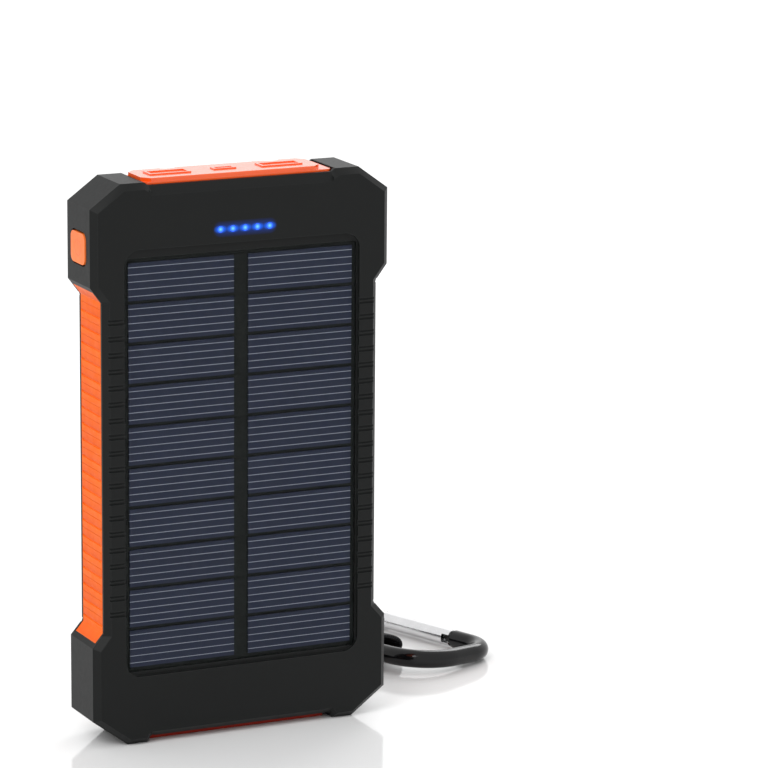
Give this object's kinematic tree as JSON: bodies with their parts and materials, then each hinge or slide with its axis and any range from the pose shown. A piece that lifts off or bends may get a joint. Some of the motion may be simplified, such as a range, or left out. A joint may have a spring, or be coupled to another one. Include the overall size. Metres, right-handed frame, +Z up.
{
  "type": "solar phone charger",
  "caption": "Pocket solar power bank: ribbed case with orange grips, solar panel, torch, port cover and power button, with a compass and snap hook on a strap.",
  "frame": {"origin": "centre of the underside, on the surface that the case stands on", "axes": "+Z up along the case's height; the solar panel faces -Y; the power button is on the -X side; the key chain leaves the back towards +Y"},
  "size_m": [0.1274, 0.0851, 0.143],
  "materials": {
    "case_plastic": "fine satin texture, near black",
    "orange_rubber": "satin orange rubber",
    "orange_plastic": "satin orange plastic",
    "black_rubber": "matt",
    "panel_board": "black laminate",
    "solar_cell": "dark blue silicon with thin silver fingers",
    "clear_film": "clear glossy film",
    "light_pipe": "clear pipe lit blue",
    "led_body": "small lamp package",
    "circuit_board": "green solder mask",
    "chip_plastic": "moulded package",
    "port_metal": "plated sheet",
    "port_plastic": "moulded tongue",
    "cell_foil": "laminated foil",
    "foam": "closed cell foam",
    "wire_red": "insulated wire",
    "wire_black": "insulated wire",
    "white_board": "white solder mask",
    "reflector": "bright plated plastic",
    "torch_lens": "frosted lens, lit white",
    "label": "printed film, blank",
    "steel": "bright zinc",
    "strap_fabric": "fine flat woven tape",
    "webbing_fabric": "coarse ribbed nylon webbing",
    "ring_metal": "polished nickel",
    "backing": "soft moulded rubber",
    "compass_black": "satin moulded plastic",
    "bezel_metal": "polished ring",
    "dome_clear": "clear dome",
    "card": "printed card, green and black",
    "brass": "polished",
    "magnet": "ferrite",
    "hook_black": "gloss black anodised",
    "gate_metal": "bright drawn"
  },
  "bodies": {
    "housing": {"front_shell": "case_plastic", "back_shell": "case_plastic", "shell_seal": "black_rubber", "left_grip": "orange_rubber", "right_grip": "orange_rubber", "bottom_bumper": "orange_rubber", "solar_board": "panel_board", "solar_cells": "solar_cell", "solar_film": "clear_film", "light_pipes": "light_pipe", "charge_lights": "led_body", "light_board": "circuit_board", "main_board": "circuit_board", "board_components": "chip_plastic", "usb_port_left": "port_metal", "usb_port_right": "port_metal", "usb_tongues": "port_plastic", "micro_usb_port": "port_metal", "button_switch": "steel", "battery_cell": "cell_foil", "foam_pads": "foam", "battery_leads": "wire_red", "solar_leads": "wire_black", "torch_board": "white_board", "torch_leds": "led_body", "torch_reflector": "reflector", "torch_lens": "torch_lens", "rating_label": "label", "screws": "steel", "screw_plugs": "orange_plastic", "strap_bar": "steel", "strap_root": "strap_fabric"},
    "button": {"power_button": "orange_plastic"},
    "cover": {"usb_cover": "orange_rubber"},
    "strap": {"ring_strap": "strap_fabric"},
    "ring": {"d_ring": "ring_metal"},
    "compass": {"compass_backing": "backing", "compass_plate": "compass_black", "compass_rim": "compass_black", "compass_bezel": "bezel_metal", "compass_dome": "dome_clear", "compass_pivot": "brass", "webbing": "webbing_fabric"},
    "card": {"compass_card": "card", "card_magnets": "magnet", "card_jewel": "brass"},
    "hook": {"hook_frame": "hook_black", "gate_pin": "steel"},
    "gate": {"hook_gate": "gate_metal", "gate_spring": "steel"}
  },
  "joints": [
    {"name": "button_press", "type": "slide", "parent": "housing", "child": "button", "axis": [1, 0, 0], "range_m": [0, 0.0005], "stiffness_N_per_m": 600, "springref_m": -0.0005},
    {"name": "cover_hinge", "type": "hinge", "parent": "housing", "child": "cover", "pos_m": [0.0252, 0, 0.1423], "axis": [0, 1, 0], "range_deg": [0, 100]},
    {"name": "strap_hinge", "type": "hinge", "parent": "housing", "child": "strap", "pos_m": [0.0013, 0.0093, 0.0272], "axis": [1, 0, 0], "range_deg": [0, 110]},
    {"name": "ring_hinge", "type": "hinge", "parent": "strap", "child": "ring", "pos_m": [0.0013, 0.0114, 0.0032], "axis": [1, 0, 0], "range_deg": [-90, 30]},
    {"name": "compass_hinge", "type": "hinge", "parent": "ring", "child": "compass", "pos_m": [0.00412, 0.02323, 0.0032], "axis": [-0.342, 0.9397, 0], "range_deg": [-45, 90]},
    {"name": "card_spin", "type": "hinge", "parent": "compass", "child": "card", "pos_m": [0.0184, 0.02842, 0.0079], "axis": [0, 0, 1], "continuous": true},
    {"name": "hook_hinge", "type": "hinge", "parent": "compass", "child": "hook", "pos_m": [0.05214, 0.0407, 0.004], "axis": [0.342, -0.9397, 0], "range_deg": [-70, 70]},
    {"name": "gate_hinge", "type": "hinge", "parent": "hook", "child": "gate", "pos_m": [0.07321, 0.06221, 0.00248], "axis": [-0.0525, -0.0191, -0.9984], "range_deg": [0, 24], "stiffness_Nm_per_rad": 0.06, "springref_deg": -22.92}
  ]
}
